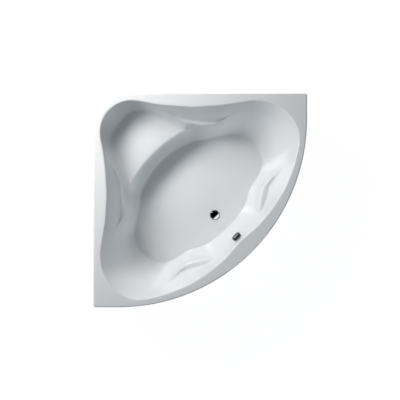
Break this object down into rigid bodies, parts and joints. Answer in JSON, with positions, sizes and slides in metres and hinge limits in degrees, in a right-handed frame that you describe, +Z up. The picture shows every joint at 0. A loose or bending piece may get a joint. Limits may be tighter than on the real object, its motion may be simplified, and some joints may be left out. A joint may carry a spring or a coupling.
{
  "type": "corner bathtub",
  "caption": "Quarter-circle corner bath: moulded acrylic shell with seat, armrests and backrests, on a footed frame with curved front panel, lift plug waste, overflow and trap.",
  "frame": {"origin": "floor level under the middle of the bath's square plan", "axes": "+Z up; the corner of the room is at -X, +Y, one straight side lies along +Y and the other along -X, and the curved front faces +X, -Y"},
  "size_m": [1.4, 1.4, 0.62],
  "materials": {
    "acrylic": "glossy",
    "fibreglass": "rough",
    "chipboard": "matt",
    "softwood": "sawn",
    "zinc_steel": "zinc plated",
    "foot_plastic": "matt",
    "cap_plastic": "glossy",
    "chrome": "polished",
    "stainless": "polished",
    "brass": "turned",
    "seal_rubber": "matt",
    "white_fittings": "moulded",
    "grey_fittings": "moulded",
    "black_fittings": "moulded",
    "cable_jacket": "extruded"
  },
  "bodies": {
    "root": {"bath_shell": "acrylic", "front_panel": "acrylic", "fibreglass_backing": "fibreglass", "base_board": "chipboard", "seat_board": "chipboard", "rim_batten_rear": "softwood", "rim_batten_left": "softwood", "front_batten": "softwood", "panel_blocks": "softwood", "wall_bracket_rear_1": "zinc_steel", "wall_bracket_rear_2": "zinc_steel", "wall_bracket_left_1": "zinc_steel", "wall_bracket_left_2": "zinc_steel", "bracket_screws": "zinc_steel", "rear_rail": "zinc_steel", "middle_rail": "zinc_steel", "front_rail": "zinc_steel", "rail_screws": "zinc_steel", "foot_nuts": "zinc_steel", "panel_screws": "zinc_steel", "screw_caps": "cap_plastic", "waste_flange": "chrome", "overflow_rosette": "chrome", "lever_pin": "stainless", "waste_seal_top": "seal_rubber", "waste_seal_bottom": "seal_rubber", "trap_seal": "seal_rubber", "overflow_seal_front": "seal_rubber", "overflow_seal_back": "seal_rubber", "waste_body": "white_fittings", "trap_body": "white_fittings", "trap_inlet_nut": "white_fittings", "trap_outlet_nut": "white_fittings", "outlet_pipe": "white_fittings", "overflow_elbow": "white_fittings", "hose_nut_top": "white_fittings", "hose_nut_bottom": "white_fittings", "overflow_hose": "grey_fittings", "bowden_cable": "cable_jacket"},
    "knob": {"overflow_knob": "chrome", "knob_spindle": "brass", "cable_spool": "black_fittings"},
    "plug": {"plug_cap": "chrome", "plug_seal": "seal_rubber", "plug_rod": "brass"},
    "lever": {"lift_lever": "black_fittings"},
    "foot_1": {"foot_stem_1": "zinc_steel", "foot_pad_1": "foot_plastic"},
    "foot_2": {"foot_stem_2": "zinc_steel", "foot_pad_2": "foot_plastic"},
    "foot_3": {"foot_stem_3": "zinc_steel", "foot_pad_3": "foot_plastic"},
    "foot_4": {"foot_stem_4": "zinc_steel", "foot_pad_4": "foot_plastic"},
    "foot_5": {"foot_stem_5": "zinc_steel", "foot_pad_5": "foot_plastic"}
  },
  "joints": [
    {"name": "knob_turn", "type": "hinge", "parent": "root", "child": "knob", "pos_m": [0.25111, -0.25111, 0.54833], "axis": [-0.692, 0.692, 0.2057], "range_deg": [0, 90]},
    {"name": "plug_lift", "type": "slide", "parent": "root", "child": "plug", "axis": [0, 0, 1], "range_m": [0, 0.012]},
    {"name": "lever_lift", "type": "hinge", "parent": "root", "child": "lever", "pos_m": [0.11956, -0.08844, 0.1395], "axis": [-0.7071, 0.7071, 0], "range_deg": [0, 27]},
    {"name": "foot_1_adjust", "type": "slide", "parent": "root", "child": "foot_1", "axis": [0, 0, -1], "range_m": [0, 0.02]},
    {"name": "foot_2_adjust", "type": "slide", "parent": "root", "child": "foot_2", "axis": [0, 0, -1], "range_m": [0, 0.02]},
    {"name": "foot_3_adjust", "type": "slide", "parent": "root", "child": "foot_3", "axis": [0, 0, -1], "range_m": [0, 0.02]},
    {"name": "foot_4_adjust", "type": "slide", "parent": "root", "child": "foot_4", "axis": [0, 0, -1], "range_m": [0, 0.02]},
    {"name": "foot_5_adjust", "type": "slide", "parent": "root", "child": "foot_5", "axis": [0, 0, -1], "range_m": [0, 0.02]}
  ],
  "couplings": [
    {"joint": "plug_lift", "follows": "knob_turn", "m_per_rad": 0.00763},
    {"joint": "lever_lift", "follows": "knob_turn", "ratio": 0.2995}
  ]
}
